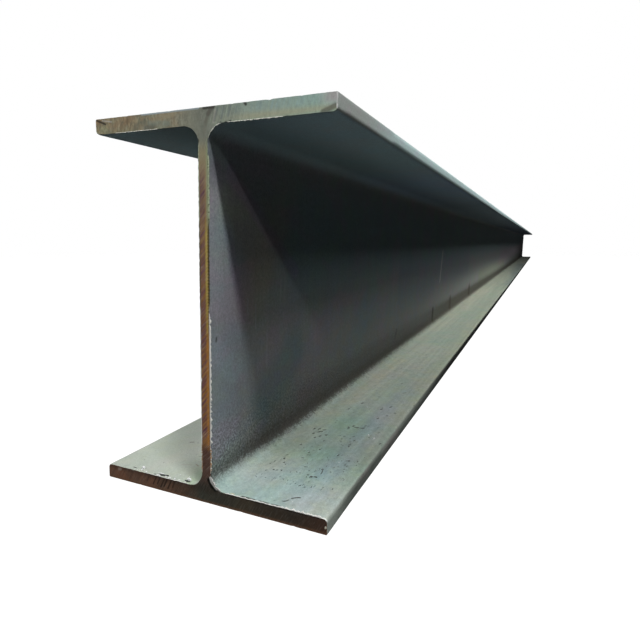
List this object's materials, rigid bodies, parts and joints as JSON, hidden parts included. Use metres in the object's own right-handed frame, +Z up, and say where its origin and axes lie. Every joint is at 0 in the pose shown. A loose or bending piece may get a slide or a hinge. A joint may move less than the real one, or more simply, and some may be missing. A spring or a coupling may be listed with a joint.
{
  "type": "steel h-beam",
  "caption": "Hot-rolled wide-flange steel beam stock, sawn square at both ends, lying on its lower flange, with parallel flanges and filleted web roots.",
  "frame": {"origin": "middle of the underside of the lower flange, half way along the beam", "axes": "+Z up, Y along the beam with the sawn ends facing -Y and +Y, X across the flanges, square to the web"},
  "size_m": [0.2, 7, 0.294],
  "materials": {
    "mill_steel": "hot-rolled carbon steel with thin blue-grey mill scale, a little grey-green dust on upward faces, and rust and scratches on the sawn ends"
  },
  "bodies": {
    "root": {"h_beam": "mill_steel"}
  },
  "joints": []
}
